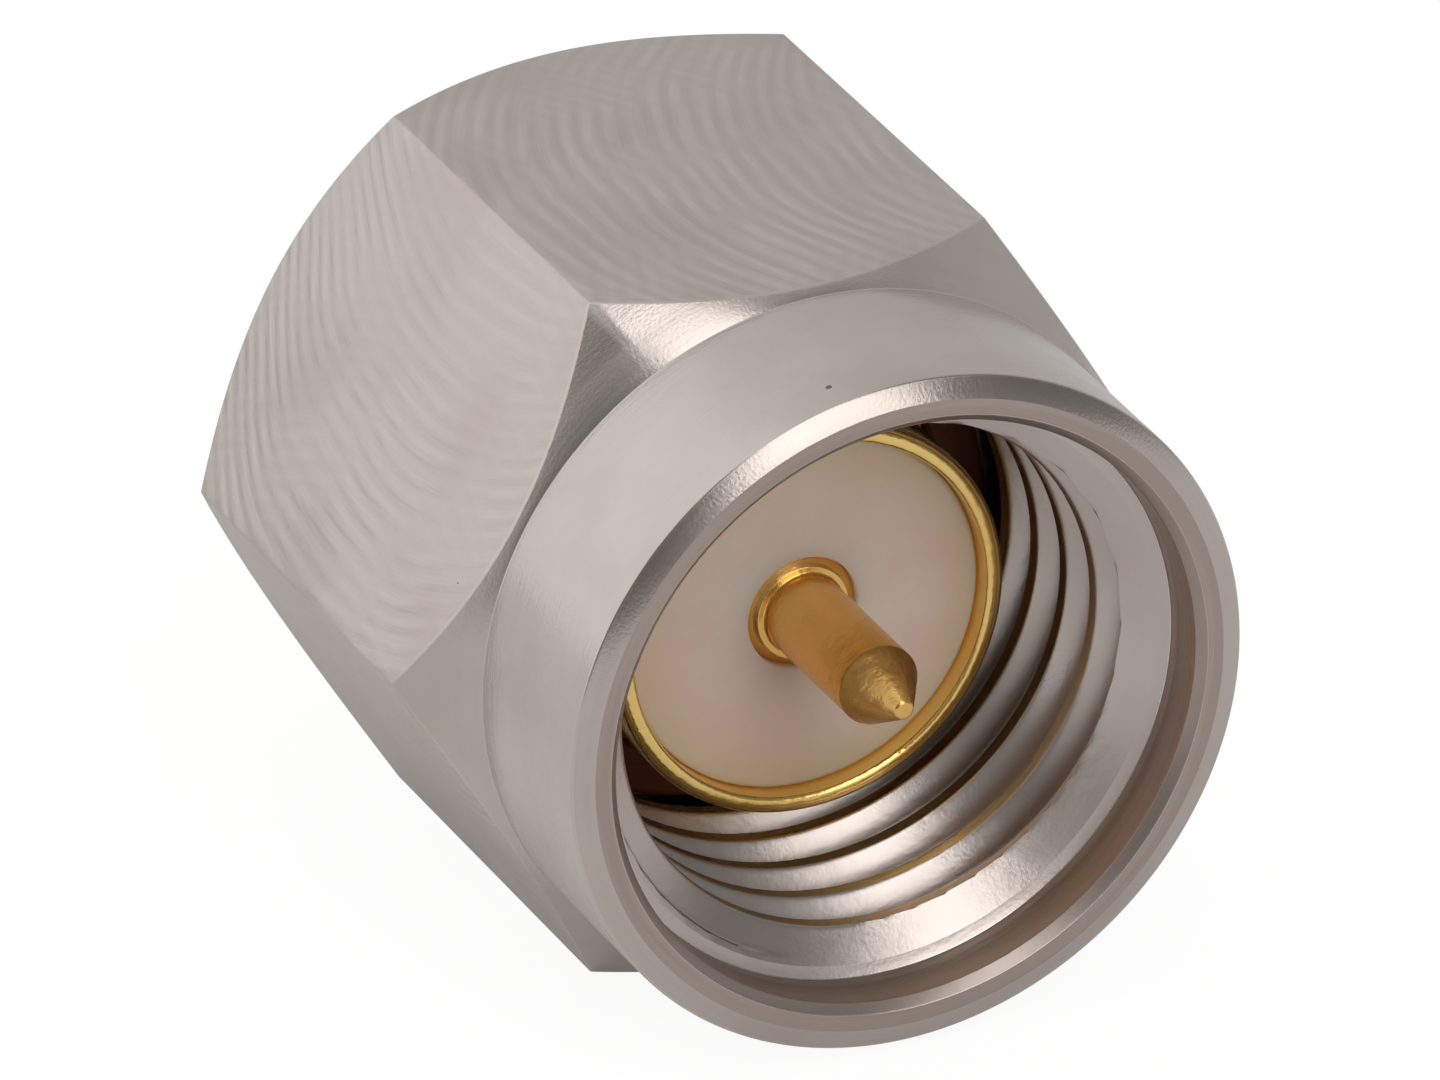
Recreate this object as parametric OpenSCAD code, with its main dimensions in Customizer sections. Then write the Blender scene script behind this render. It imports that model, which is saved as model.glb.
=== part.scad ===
// Straight SMA plug for 3.6 mm semi-rigid coaxial cable, with a captive contact and a coupling nut
// that turns on a snap ring. It lies on one flat of the hexagon, with its mouth towards -Y.
//
// Each turned piece is a half section of [radius, station] points. A station is the distance ahead
// of the reference plane, which is the front rim of the outer contact and holds the origin.

/* [Coupling nut] */
// Width across the flats of the hexagon
nut_flats = 8.0; // [7.9:0.1:8.4]
// Length of the nut from its front face to its back face
nut_l = 8.65; // [8.4:0.05:9.4]
// Diameter of the turned collar in front of the hexagon
collar_d = 7.82; // [7.6:0.02:7.88]
// Length of the collar, up to the cone that leads to the hexagon
collar_l = 2.26; // [1.6:0.02:2.6]
// Angle between the axis and the cones that cut the ends of the hexagon
hex_cone_a = 43; // [30:1:55]
// Distance from the reference plane to the front face of the nut
nut_reach = 2.39; // [2.3:0.01:2.6]
// Width of the shallow bevel round the front face
rim_bevel_w = 0.25; // [0.15:0.01:0.28]
// Depth of that bevel along the axis
rim_bevel_l = 0.09; // [0.05:0.01:0.2]
// Diameter of the plain bore in front of the thread
counterbore_d = 6.76; // [6.6:0.02:6.8]
// Depth from the front face to the shoulder at the end of that plain bore
counterbore_l = 0.66; // [0.5:0.02:0.8]
// Diameter of the lead-in cone where it leaves that shoulder
lead_in_d = 6.48; // [6.4:0.02:6.56]
// Angle between the axis and the lead-in cone
lead_in_a = 64; // [45:1:70]
// Minor diameter of the 1/4-36 thread, kept as a plain bore
thread_minor_d = 5.72; // [5.7:0.01:5.76]
// Depth from the front face to the end of the thread
thread_end = 4.2; // [4.1:0.02:4.26]
// Diameter of the relief behind the thread
relief_d = 6.4; // [6.36:0.02:6.8]
// Length of the relief behind the thread
relief_l = 0.75; // [0.7:0.05:1.2]
// Diameter of the bore that turns on the body
bearing_d = 5.8; // [5.78:0.01:5.84]

/* [Body] */
// Outer diameter of the thin outer contact
sleeve_d = 4.56; // [4.5:0.01:4.57]
// Length of the outer contact ahead of the step that centres the gasket
sleeve_l = 2.0; // [1.96:0.01:2.04]
// Diameter of the step that centres the gasket
step_d = 4.9; // [4.88:0.01:5]
// Length of that step, up to the shoulder behind the gasket
step_l = 0.45; // [0.4:0.05:0.5]
// Diameter of the shoulder on which the nut turns
barrel_d = 5.66; // [5.6:0.01:5.68]
// Station where that shoulder ends and the tail starts
barrel_end = 5.95; // [5.9:0.05:6.1]
// Diameter of the tail that takes the cable
tail_d = 4.8; // [4.6:0.05:5]
// Distance from the reference plane to the back end of the tail
body_l = 8.06; // [7.8:0.02:8.4]
// Thickness of the land inside the body between insulator and cable
land_t = 0.3; // [0.2:0.05:0.4]
// Diameter of the hole through that land
land_bore_d = 3.0; // [2.9:0.05:3.2]

/* [Snap ring] */
// Distance from the reference plane to the front of the ring
ring_station = 4.95; // [4.95:0.01:5.1]
// Thickness of the ring along the axis
ring_t = 0.55; // [0.4:0.01:0.58]
// Outer diameter of the ring
ring_d = 6.1; // [6:0.02:6.3]
// Width of the ring's section across the axis
ring_w = 0.6; // [0.5:0.02:0.66]
// Angle of the gap that lets the ring spring shut
ring_gap_a = 40; // [20:5:60]

/* [Gasket] */
// Outer diameter of the gasket
gasket_d = 6.0; // [5.8:0.05:6.2]
// Thickness of the gasket along the axis
gasket_t = 0.52; // [0.46:0.02:0.56]

/* [Insulators] */
// Diameter of the insulators, which sets the line's impedance together with the contact
insulator_d = 4.13; // [4.1:0.01:4.16]
// Distance from the reference plane back to the face of the front insulator
insulator_recess = 0.21; // [0.05:0.01:0.3]
// Distance from the reference plane to the joint between the two insulators
insulator_joint = 2.6; // [2.4:0.1:2.9]
// Distance from the reference plane to the back of the rear insulator
insulator_end = 4.6; // [4.4:0.05:4.7]

/* [Centre contact] */
// Diameter of the pin
pin_d = 0.914; // [0.9:0.002:0.94]
// Distance that the straight part of the pin reaches ahead of the reference plane
pin_reach = 1.6; // [1.4:0.05:1.7]
// Distance that the point of the pin reaches ahead of the reference plane
pin_tip = 2.23; // [2.1:0.01:2.3]
// Diameter of the small flat on the point of the pin
tip_d = 0.2; // [0.1:0.02:0.3]
// Diameter of the contact inside the insulators
core_d = 1.27; // [1.2:0.01:1.3]
// Diameter of the collar that holds the contact between the insulators
collet_d = 1.8; // [1.6:0.05:2]
// Length of that collar
collet_l = 0.4; // [0.3:0.05:0.5]

/* [Cable entry] */
// Diameter of the bore for the cable's jacket
cable_bore_d = 3.66; // [3.62:0.01:3.72]
// Diameter of the socket for the cable's conductor
conductor_bore_d = 0.94; // [0.93:0.01:0.98]
// Depth of that socket
conductor_bore_l = 1.9; // [1.6:0.1:2]
// Width of the slot that lets the socket's two tines spring
slot_w = 0.2; // [0.15:0.01:0.22]
// Length of that slot
slot_l = 1.5; // [1.2:0.1:1.6]

/* [Hidden] */
$fn = 96;

chamfer = 0.1;          // small broken edges
shoulder_rake = 0.03;   // slope of the shoulder at the end of the nut's plain bore
shoulder_step = 0.03;   // step from that shoulder into the lead-in cone
fit = 0.01;             // gap round each pressed-in insulator and round the contact
play = 0.05;            // axial freedom of the nut on its snap ring
tine_room = 0.2;        // room round the socket's tines for them to spring
section_l = 20;         // longer than any piece

nut_back = nut_reach - nut_l;
shoulder_back = sleeve_l + step_l;
hex_corner_d = nut_flats / cos(30);
cone_slope = tan(hex_cone_a);
relief_end = nut_reach - thread_end - relief_l;
snap_groove_d = ring_d + 0.4;
body_groove_d = ring_d - 2 * ring_w - 0.3;
insulator_bore_d = core_d + 2 * fit;

// A solid of revolution from its half section of [radius, station] points
module turned(section) {
    rotate([90, 0, 0]) rotate_extrude() polygon(section);
}

// The outside of the nut, as a solid that its hexagon is cut to
module nut_envelope() {
    corner_r = hex_corner_d / 2;
    collar_r = collar_d / 2;
    cone_start = nut_reach - collar_l;
    rise = corner_r - collar_r;
    turned([
        [0, nut_reach],
        [collar_r - rim_bevel_w, nut_reach],
        [collar_r, nut_reach - rim_bevel_l],
        [collar_r, cone_start],
        [corner_r, cone_start - rise / cone_slope],
        [corner_r, nut_back + rise / cone_slope],
        [collar_r, nut_back],
        [0, nut_back]
    ]);
}

// The hollow of the nut: plain bore with its shoulder, lead-in cone, thread bore, relief, and
// bearing with its groove
module nut_hollow() {
    counter_r = counterbore_d / 2;
    lead_in_r = lead_in_d / 2;
    minor_r = thread_minor_d / 2;
    relief_r = relief_d / 2;
    bearing_r = bearing_d / 2;
    groove_r = snap_groove_d / 2;
    counter_end = nut_reach - counterbore_l;
    lead_in_start = counter_end - shoulder_rake - shoulder_step;
    lead_in_end = lead_in_start - (lead_in_r - minor_r) / tan(lead_in_a);
    thread_stop = nut_reach - thread_end;
    groove_front = -ring_station + play;
    groove_back = -ring_station - ring_t - play;
    turned([
        [0, nut_reach + 1],
        [counter_r + chamfer, nut_reach + 1],
        [counter_r + chamfer, nut_reach],
        [counter_r, nut_reach - chamfer],
        [counter_r, counter_end],
        [lead_in_r, counter_end - shoulder_rake],
        [lead_in_r, lead_in_start],
        [minor_r, lead_in_end],
        [minor_r, thread_stop],
        [relief_r, thread_stop],
        [relief_r, relief_end],
        [bearing_r, relief_end],
        [bearing_r, groove_front],
        [groove_r, groove_front],
        [groove_r, groove_back],
        [bearing_r, groove_back],
        [bearing_r, nut_back + chamfer],
        [bearing_r + chamfer, nut_back],
        [bearing_r + chamfer, nut_back - 1],
        [0, nut_back - 1]
    ]);
}

// Hexagonal nut with a turned collar, two hexagon flats level
module coupling_nut() {
    color([0.72, 0.69, 0.65]) difference() {
        intersection() {
            rotate([90, 0, 0]) cylinder(h = section_l, d = hex_corner_d, center = true, $fn = 6);
            nut_envelope();
        }
        nut_hollow();
    }
}

// Split ring that sits in the body's groove and holds the nut by its own groove
module retaining_ring() {
    ring_r = ring_d / 2;
    color([0.80, 0.62, 0.35])
        rotate([0, ring_gap_a / 2, 0])
        rotate([90, 0, 0])
        rotate_extrude(angle = 360 - ring_gap_a)
        translate([ring_r - ring_w, -ring_station - ring_t])
        square([ring_w, ring_t]);
}

// Soft ring in front of the body's shoulder, pressed by the rim of the mating jack
module gasket() {
    outer_r = gasket_d / 2;
    inner_r = step_d / 2 + fit;
    back = -shoulder_back;
    front = back + gasket_t;
    color([0.24, 0.10, 0.06]) turned([
        [inner_r, back],
        [inner_r, front],
        [outer_r - chamfer, front],
        [outer_r, front - chamfer],
        [outer_r, back + chamfer],
        [outer_r - chamfer, back]
    ]);
}

// One turned piece: outer contact, shoulder with the snap ring's groove, and tail for the cable
module body() {
    sleeve_r = sleeve_d / 2;
    step_r = step_d / 2;
    barrel_r = barrel_d / 2;
    tail_r = tail_d / 2;
    groove_r = body_groove_d / 2;
    bore_r = insulator_d / 2;
    cable_r = cable_bore_d / 2;
    land_r = land_bore_d / 2;
    edge = chamfer / 2;
    groove_back = -ring_station - ring_t - play;
    land_back = -insulator_end - land_t;
    color([0.93, 0.72, 0.25]) turned([
        [bore_r, 0],
        [sleeve_r - edge, 0],
        [sleeve_r, -edge],
        [sleeve_r, -sleeve_l],
        [step_r, -sleeve_l],
        [step_r, -shoulder_back],
        [barrel_r - chamfer, -shoulder_back],
        [barrel_r, -shoulder_back - chamfer],
        [barrel_r, -ring_station],
        [groove_r, -ring_station],
        [groove_r, groove_back],
        [barrel_r, groove_back],
        [barrel_r, -barrel_end + chamfer],
        [barrel_r - chamfer, -barrel_end],
        [tail_r, -barrel_end],
        [tail_r, -body_l + chamfer],
        [tail_r - chamfer, -body_l],
        [cable_r + chamfer, -body_l],
        [cable_r, -body_l + chamfer],
        [cable_r, land_back],
        [land_r, land_back],
        [land_r, -insulator_end],
        [bore_r, -insulator_end]
    ]);
}

// Front insulator, which closes the outer contact round the pin
module front_insulator() {
    bead_r = insulator_d / 2 - fit;
    hole_r = insulator_bore_d / 2;
    color([0.90, 0.86, 0.82]) turned([
        [hole_r, -insulator_recess],
        [bead_r, -insulator_recess],
        [bead_r, -insulator_joint],
        [hole_r, -insulator_joint]
    ]);
}

// Rear insulator, which takes the contact's collar and leaves room round its tines
module rear_insulator() {
    bead_r = insulator_d / 2 - fit;
    hole_r = insulator_bore_d / 2;
    seat_r = collet_d / 2 + fit;
    seat_end = -insulator_joint - collet_l;
    room_start = seat_end - chamfer;
    color([0.90, 0.86, 0.82]) turned([
        [seat_r, -insulator_joint],
        [bead_r, -insulator_joint],
        [bead_r, -insulator_end],
        [hole_r + tine_room, -insulator_end],
        [hole_r + tine_room, room_start],
        [hole_r, room_start],
        [hole_r, seat_end],
        [seat_r, seat_end]
    ]);
}

// Contact with a pointed pin in front, a collar, and a slotted socket behind
module centre_contact() {
    pin_r = pin_d / 2;
    core_r = core_d / 2;
    collet_r = collet_d / 2;
    socket_r = conductor_bore_d / 2;
    shoulder = -insulator_recess;
    collet_front = -insulator_joint;
    collet_back = -insulator_joint - collet_l;
    socket_floor = -insulator_end + conductor_bore_l;
    color([0.85, 0.65, 0.20]) difference() {
        turned([
            [0, pin_tip],
            [tip_d / 2, pin_tip],
            [pin_r, pin_reach],
            [pin_r, shoulder],
            [core_r - chamfer, shoulder],
            [core_r, shoulder - chamfer],
            [core_r, collet_front],
            [collet_r, collet_front],
            [collet_r, collet_back],
            [core_r, collet_back],
            [core_r, -insulator_end],
            [socket_r, -insulator_end],
            [socket_r, socket_floor],
            [0, socket_floor + socket_r / 2]
        ]);
        translate([-core_d, insulator_end - slot_l, -slot_w / 2])
            cube([2 * core_d, slot_l + 1, slot_w]);
    }
}

coupling_nut();
retaining_ring();
gasket();
body();
front_insulator();
rear_insulator();
centre_contact();
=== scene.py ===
"""Looks of a straight SMA plug: milled and turned steel nut on a gold-plated body.

Every size is in millimetres and every piece is built in the plug's own frame. The origin is on
the axis at the reference plane, -Y points out of the mouth and +Z is up. A station is the
distance ahead of the reference plane, so it equals -y.
"""

import logging
import math
from dataclasses import dataclass, field
from enum import Enum

import bmesh
import bpy
from bmesh.types import BMVert, BMesh
from bpy.types import Material, Node, NodeSocket, NodeTree, Object, World
from mathutils import Matrix, Vector


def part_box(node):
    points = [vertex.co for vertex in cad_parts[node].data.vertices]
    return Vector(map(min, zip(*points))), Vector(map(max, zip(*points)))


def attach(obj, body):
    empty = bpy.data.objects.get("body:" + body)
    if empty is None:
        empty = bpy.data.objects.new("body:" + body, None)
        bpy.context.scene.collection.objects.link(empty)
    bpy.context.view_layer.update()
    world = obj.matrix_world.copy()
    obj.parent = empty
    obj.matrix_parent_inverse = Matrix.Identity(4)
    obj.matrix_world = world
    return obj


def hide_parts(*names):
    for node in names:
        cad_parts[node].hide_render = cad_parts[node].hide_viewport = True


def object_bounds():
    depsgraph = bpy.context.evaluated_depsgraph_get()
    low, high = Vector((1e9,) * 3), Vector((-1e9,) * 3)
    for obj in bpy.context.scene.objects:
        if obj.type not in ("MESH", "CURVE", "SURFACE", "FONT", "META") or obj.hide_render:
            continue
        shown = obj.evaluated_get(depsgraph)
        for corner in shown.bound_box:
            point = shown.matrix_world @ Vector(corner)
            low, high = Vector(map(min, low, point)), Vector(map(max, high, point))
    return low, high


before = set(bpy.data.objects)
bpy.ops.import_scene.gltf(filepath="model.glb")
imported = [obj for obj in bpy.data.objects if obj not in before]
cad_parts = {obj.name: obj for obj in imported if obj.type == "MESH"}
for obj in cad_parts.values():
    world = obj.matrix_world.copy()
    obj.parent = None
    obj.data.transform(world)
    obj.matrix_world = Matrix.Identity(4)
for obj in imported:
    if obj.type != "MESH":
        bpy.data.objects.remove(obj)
CAD_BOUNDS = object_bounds()

logging.basicConfig(level=logging.INFO, format="%(message)s")
LOG = logging.getLogger("sma_plug")

MM = 0.001
HEX_TURN = math.radians(60.0)
Point3 = tuple[float, float, float]
Colour = tuple[float, float, float]


# ---------------------------------------------------------------------------------------------
# Turning: half sections, rounded corners and solids of revolution
# ---------------------------------------------------------------------------------------------


@dataclass(frozen=True)
class Corner:
    """One corner of a turned half section.

    Args:
        r: Radius in millimetres.
        s: Station in millimetres, ahead of the reference plane.
        edge: Radius of the rounding at this corner, 0 for a sharp one.
    """

    r: float
    s: float
    edge: float = 0.0


def fillet(
    before: Vector, corner: Vector, after: Vector, edge: float, steps: int = 4
) -> list[Vector]:
    """Round one corner of an outline.

    Args:
        before: Neighbouring corner on one side.
        corner: The corner itself.
        after: Neighbouring corner on the other side.
        edge: Radius of the rounding.
        steps: Number of straight pieces in the rounding.

    Returns:
        The points of the arc, or the corner alone where it is straight or sharp.
    """
    back = (before - corner).normalized()
    ahead = (after - corner).normalized()
    turn = back.angle(ahead)
    if edge <= 0.0 or turn > math.radians(178.0):
        return [corner]
    run = edge / math.tan(turn / 2)
    bisector = (back + ahead).normalized()
    centre = corner + bisector * (edge / math.sin(turn / 2))
    first = corner + back * run - centre
    last = corner + ahead * run - centre
    sweep = first.angle_signed(last)
    return [centre + Matrix.Rotation(-sweep * i / steps, 2) @ first for i in range(steps + 1)]


def outline(corners: list[Corner], closed: bool) -> list[Vector]:
    """Expand corners into the points of a half section.

    Args:
        corners: The corners in order.
        closed: Whether the last corner joins the first.

    Returns:
        Points as (radius, station) vectors.
    """
    flat = [Vector((c.r, c.s)) for c in corners]
    points: list[Vector] = []
    for i, corner in enumerate(corners):
        at_end = not closed and i in (0, len(corners) - 1)
        if at_end or corner.edge <= 0.0:
            points.append(flat[i])
            continue
        points += fillet(flat[i - 1], flat[i], flat[(i + 1) % len(flat)], corner.edge)
    return points


def wire(bm: BMesh, points: list[Vector], closed: bool) -> list[BMVert]:
    """Lay a half section into a mesh as a chain of edges in the XY plane.

    Args:
        bm: The mesh to add to.
        points: (radius, station) points.
        closed: Whether the chain closes on itself.

    Returns:
        The new vertices in order.
    """
    verts = [bm.verts.new((p.x, -p.y, 0.0)) for p in points]
    for a, b in zip(verts, verts[1:]):
        bm.edges.new((a, b))
    if closed:
        bm.edges.new((verts[-1], verts[0]))
    return verts


def spin_about_axis(
    bm: BMesh, segments: int, angle: float = 2 * math.pi, advance: float = 0.0
) -> None:
    """Turn everything in the mesh about the plug's axis.

    Args:
        bm: Mesh that holds a half section.
        segments: Number of steps round the turn.
        angle: Angle of the turn in radians.
        advance: Distance moved along +Y over the whole turn, for a helix.
    """
    full = abs(angle - 2 * math.pi) < 1e-6 and advance == 0.0
    bmesh.ops.spin(
        bm,
        geom=bm.verts[:] + bm.edges[:],
        cent=(0.0, 0.0, 0.0),
        axis=(0.0, -1.0, 0.0),
        dvec=(0.0, advance / segments, 0.0),
        angle=angle,
        steps=segments,
        use_merge=full,
        use_duplicate=False,
    )
    bmesh.ops.remove_doubles(bm, verts=bm.verts[:], dist=1e-5)


def mark_creases(bm: BMesh, limit: float = math.radians(28.0)) -> None:
    """Shade faces smooth and keep edges sharp that fold by more than a limit.

    Args:
        bm: The finished mesh.
        limit: Fold in radians above which an edge stays sharp.
    """
    for face in bm.faces:
        face.smooth = True
    for edge in bm.edges:
        edge.smooth = not (edge.is_manifold and edge.calc_face_angle(0.0) > limit)


def link(thing: Object) -> Object:
    """Link an object to the scene and return it."""
    bpy.context.scene.collection.objects.link(thing)
    return thing


def link_mesh(bm: BMesh, name: str) -> Object:
    """Turn a mesh in metres into an object at the origin.

    Args:
        bm: The mesh, which is freed.
        name: Name of the new object.

    Returns:
        The object, linked to the scene.
    """
    mesh = bpy.data.meshes.new(name)
    bm.to_mesh(mesh)
    bm.free()
    return link(bpy.data.objects.new(name, mesh))


def to_object(bm: BMesh, name: str) -> Object:
    """Turn a finished mesh in millimetres into an object in metres at the origin.

    Args:
        bm: The mesh, which is freed.
        name: Name of the new object.

    Returns:
        The object, linked to the scene.
    """
    bmesh.ops.recalc_face_normals(bm, faces=bm.faces[:])
    mark_creases(bm)
    bmesh.ops.scale(bm, vec=(MM, MM, MM), verts=bm.verts[:])
    return link_mesh(bm, name)


def turned(name: str, corners: list[Corner], closed: bool = True, segments: int = 192) -> Object:
    """Make a solid of revolution.

    Args:
        name: Name of the object.
        corners: Its half section. An open one starts and ends on the axis.
        closed: Whether the half section is a closed loop off the axis.
        segments: Steps round the turn.

    Returns:
        The finished object.
    """
    bm = bmesh.new()
    wire(bm, outline(corners, closed), closed)
    spin_about_axis(bm, segments)
    return to_object(bm, name)


# ---------------------------------------------------------------------------------------------
# Shader helpers and shared effects
# ---------------------------------------------------------------------------------------------


class NodeKind(Enum):
    """Shader nodes used here, by their Blender type."""

    COORDS = "ShaderNodeTexCoord"
    UV = "ShaderNodeUVMap"
    ATTRIBUTE = "ShaderNodeAttribute"
    MATH = "ShaderNodeMath"
    VECTOR = "ShaderNodeVectorMath"
    SPLIT = "ShaderNodeSeparateXYZ"
    JOIN = "ShaderNodeCombineXYZ"
    NOISE = "ShaderNodeTexNoise"
    CELLS = "ShaderNodeTexVoronoi"
    RAMP = "ShaderNodeMapRange"
    MIX = "ShaderNodeMix"
    BUMP = "ShaderNodeBump"
    GROUP = "ShaderNodeGroup"
    GROUP_IN = "NodeGroupInput"
    GROUP_OUT = "NodeGroupOutput"
    SURFACE = "ShaderNodeBsdfPrincipled"
    DIFFUSE = "ShaderNodeBsdfDiffuse"
    GLOW = "ShaderNodeEmission"
    MIX_SHADER = "ShaderNodeMixShader"
    LIGHT_PATH = "ShaderNodeLightPath"
    OUTPUT = "ShaderNodeOutputMaterial"
    BACKGROUND = "ShaderNodeBackground"
    WORLD_OUTPUT = "ShaderNodeOutputWorld"


class Wiring:
    """A node tree with short ways to add and join nodes.

    Args:
        tree: The node tree to work in.
    """

    def __init__(self, tree: NodeTree) -> None:
        """Keep the tree."""
        self.tree = tree

    def add(self, kind: NodeKind, **settings: object) -> Node:
        """Add a node and set its own properties.

        Args:
            kind: The node's type.
            **settings: Attribute names and values.

        Returns:
            The new node.
        """
        node = self.tree.nodes.new(kind.value)
        for key, value in settings.items():
            setattr(node, key, value)
        return node

    def feed(self, socket: NodeSocket, value: object) -> None:
        """Link a socket to another, or set it to a constant.

        Args:
            socket: The input.
            value: An output socket, a number or a colour.
        """
        if isinstance(value, NodeSocket):
            self.tree.links.new(value, socket)
        else:
            socket.default_value = value

    def through(
        self, kind: NodeKind, values: tuple[object, ...], **settings: object
    ) -> NodeSocket:
        """Add a node and feed its first inputs in order.

        Args:
            kind: The node's type.
            values: What its inputs take, from the first on.
            **settings: Attribute names and values.

        Returns:
            Its first output.
        """
        node = self.add(kind, **settings)
        for socket, value in zip(node.inputs, values):
            self.feed(socket, value)
        return node.outputs[0]

    def math(self, operation: str, a: object, b: object = 0.0, c: object = 0.0) -> NodeSocket:
        """Add a Math node on up to three operands and return its output."""
        return self.through(NodeKind.MATH, (a, b, c), operation=operation)

    def times(self, a: object, b: object) -> NodeSocket:
        """Return the product of two values."""
        return self.math("MULTIPLY", a, b)

    def plus(self, a: object, b: object) -> NodeSocket:
        """Return the sum of two values."""
        return self.math("ADD", a, b)

    def join(self, x: object, y: object, z: object = 0.0) -> NodeSocket:
        """Add a Combine XYZ node and return its vector."""
        return self.through(NodeKind.JOIN, (x, y, z))

    def split(self, vector: object) -> list[NodeSocket]:
        """Add a Separate XYZ node and return its three outputs."""
        return list(self.through(NodeKind.SPLIT, (vector,)).node.outputs)

    def remap(
        self, value: object, low: float, high: float, to_low: float, to_high: float
    ) -> NodeSocket:
        """Add a clamped smooth Map Range node.

        Args:
            value: The input.
            low: Input that gives to_low.
            high: Input that gives to_high.
            to_low: Output at low.
            to_high: Output at high.

        Returns:
            Its output.
        """
        values = (value, low, high, to_low, to_high)
        return self.through(NodeKind.RAMP, values, interpolation_type="SMOOTHSTEP")

    def noise(
        self, vector: object, scale: object, detail: float = 3.0, rough: float = 0.5
    ) -> NodeSocket:
        """Add a Noise Texture node.

        Args:
            vector: Its coordinates.
            scale: Its scale.
            detail: Its octaves.
            rough: Weight of the finer octaves.

        Returns:
            Its value, about 0 to 1.
        """
        node = self.add(NodeKind.NOISE)
        self.feed(node.inputs["Vector"], vector)
        self.feed(node.inputs["Scale"], scale)
        self.feed(node.inputs["Detail"], detail)
        self.feed(node.inputs["Roughness"], rough)
        return node.outputs["Fac"]

    def bump(self, height: object, depth: float, under: object = None) -> NodeSocket:
        """Add a Bump node.

        Args:
            height: Height, where 1 stands for the whole depth.
            depth: That depth in millimetres.
            under: Normal of a coarser bump that this one lies on, or None.

        Returns:
            Its normal.
        """
        node = self.add(NodeKind.BUMP)
        node.inputs["Strength"].default_value = 1.0
        node.inputs["Distance"].default_value = depth * MM
        self.feed(node.inputs["Height"], height)
        if under is not None:
            self.feed(node.inputs["Normal"], under)
        return node.outputs[0]

    def mix(self, share: object, a: object, b: object) -> NodeSocket:
        """Mix two colours.

        Args:
            share: Share of the second.
            a: First colour.
            b: Second colour.

        Returns:
            The mixed colour.
        """
        node = self.add(NodeKind.MIX, data_type="RGBA")
        self.feed(node.inputs[0], share)
        self.feed(node.inputs[6], a)
        self.feed(node.inputs[7], b)
        return node.outputs[2]

    def mix_value(self, share: object, a: object, b: object) -> NodeSocket:
        """Mix two numbers.

        Args:
            share: Share of the second.
            a: First number.
            b: Second number.

        Returns:
            The mixed number.
        """
        node = self.add(NodeKind.MIX, data_type="FLOAT")
        self.feed(node.inputs[0], share)
        self.feed(node.inputs[2], a)
        self.feed(node.inputs[3], b)
        return node.outputs[0]


def new_group(
    name: str, inputs: dict[str, float], outputs: list[str]
) -> tuple[Wiring, Node, Node]:
    """Start a shader node group with float sockets.

    Args:
        name: Name of the group.
        inputs: Input names and default values.
        outputs: Output names.

    Returns:
        The group's wiring, its input node and its output node.
    """
    tree = bpy.data.node_groups.new(name, "ShaderNodeTree")
    for label, value in inputs.items():
        socket = tree.interface.new_socket(label, in_out="INPUT", socket_type="NodeSocketFloat")
        socket.default_value = value
    for label in outputs:
        tree.interface.new_socket(label, in_out="OUTPUT", socket_type="NodeSocketFloat")
    wiring = Wiring(tree)
    return wiring, wiring.add(NodeKind.GROUP_IN), wiring.add(NodeKind.GROUP_OUT)


def turning_lines_group() -> NodeTree:
    """Build the group for fine lines that a lathe leaves round the axis.

    Returns:
        A group that puts out a height and a slow variation, both about 0 to 1, and the radius
        in millimetres.
    """
    defaults = {"Lines per mm": 14.0, "Waviness": 0.15}
    w, given, out = new_group("turning_lines", defaults, ["Height", "Bands", "Radius"])
    x, y, z = w.split(w.add(NodeKind.COORDS).outputs["Object"])
    radius = w.math("SQRT", w.plus(w.times(x, x), w.times(z, z)))
    angle_x = w.math("DIVIDE", x, w.math("MAXIMUM", radius, 1e-6))
    angle_z = w.math("DIVIDE", z, w.math("MAXIMUM", radius, 1e-6))
    across = w.times(w.plus(w.times(radius, 0.83), y), 1.0 / MM)
    waves = given.outputs["Waviness"]
    lines = w.times(across, given.outputs["Lines per mm"])
    fine = w.join(w.times(angle_x, waves), lines, w.times(angle_z, waves))
    slow = w.join(angle_x, w.times(across, 1.3), angle_z)
    w.feed(out.inputs["Height"], w.noise(fine, 1.0, 2.0, 0.6))
    w.feed(out.inputs["Bands"], w.noise(slow, 1.4, 2.0, 0.5))
    w.feed(out.inputs["Radius"], w.times(radius, 1.0 / MM))
    return w.tree


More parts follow.
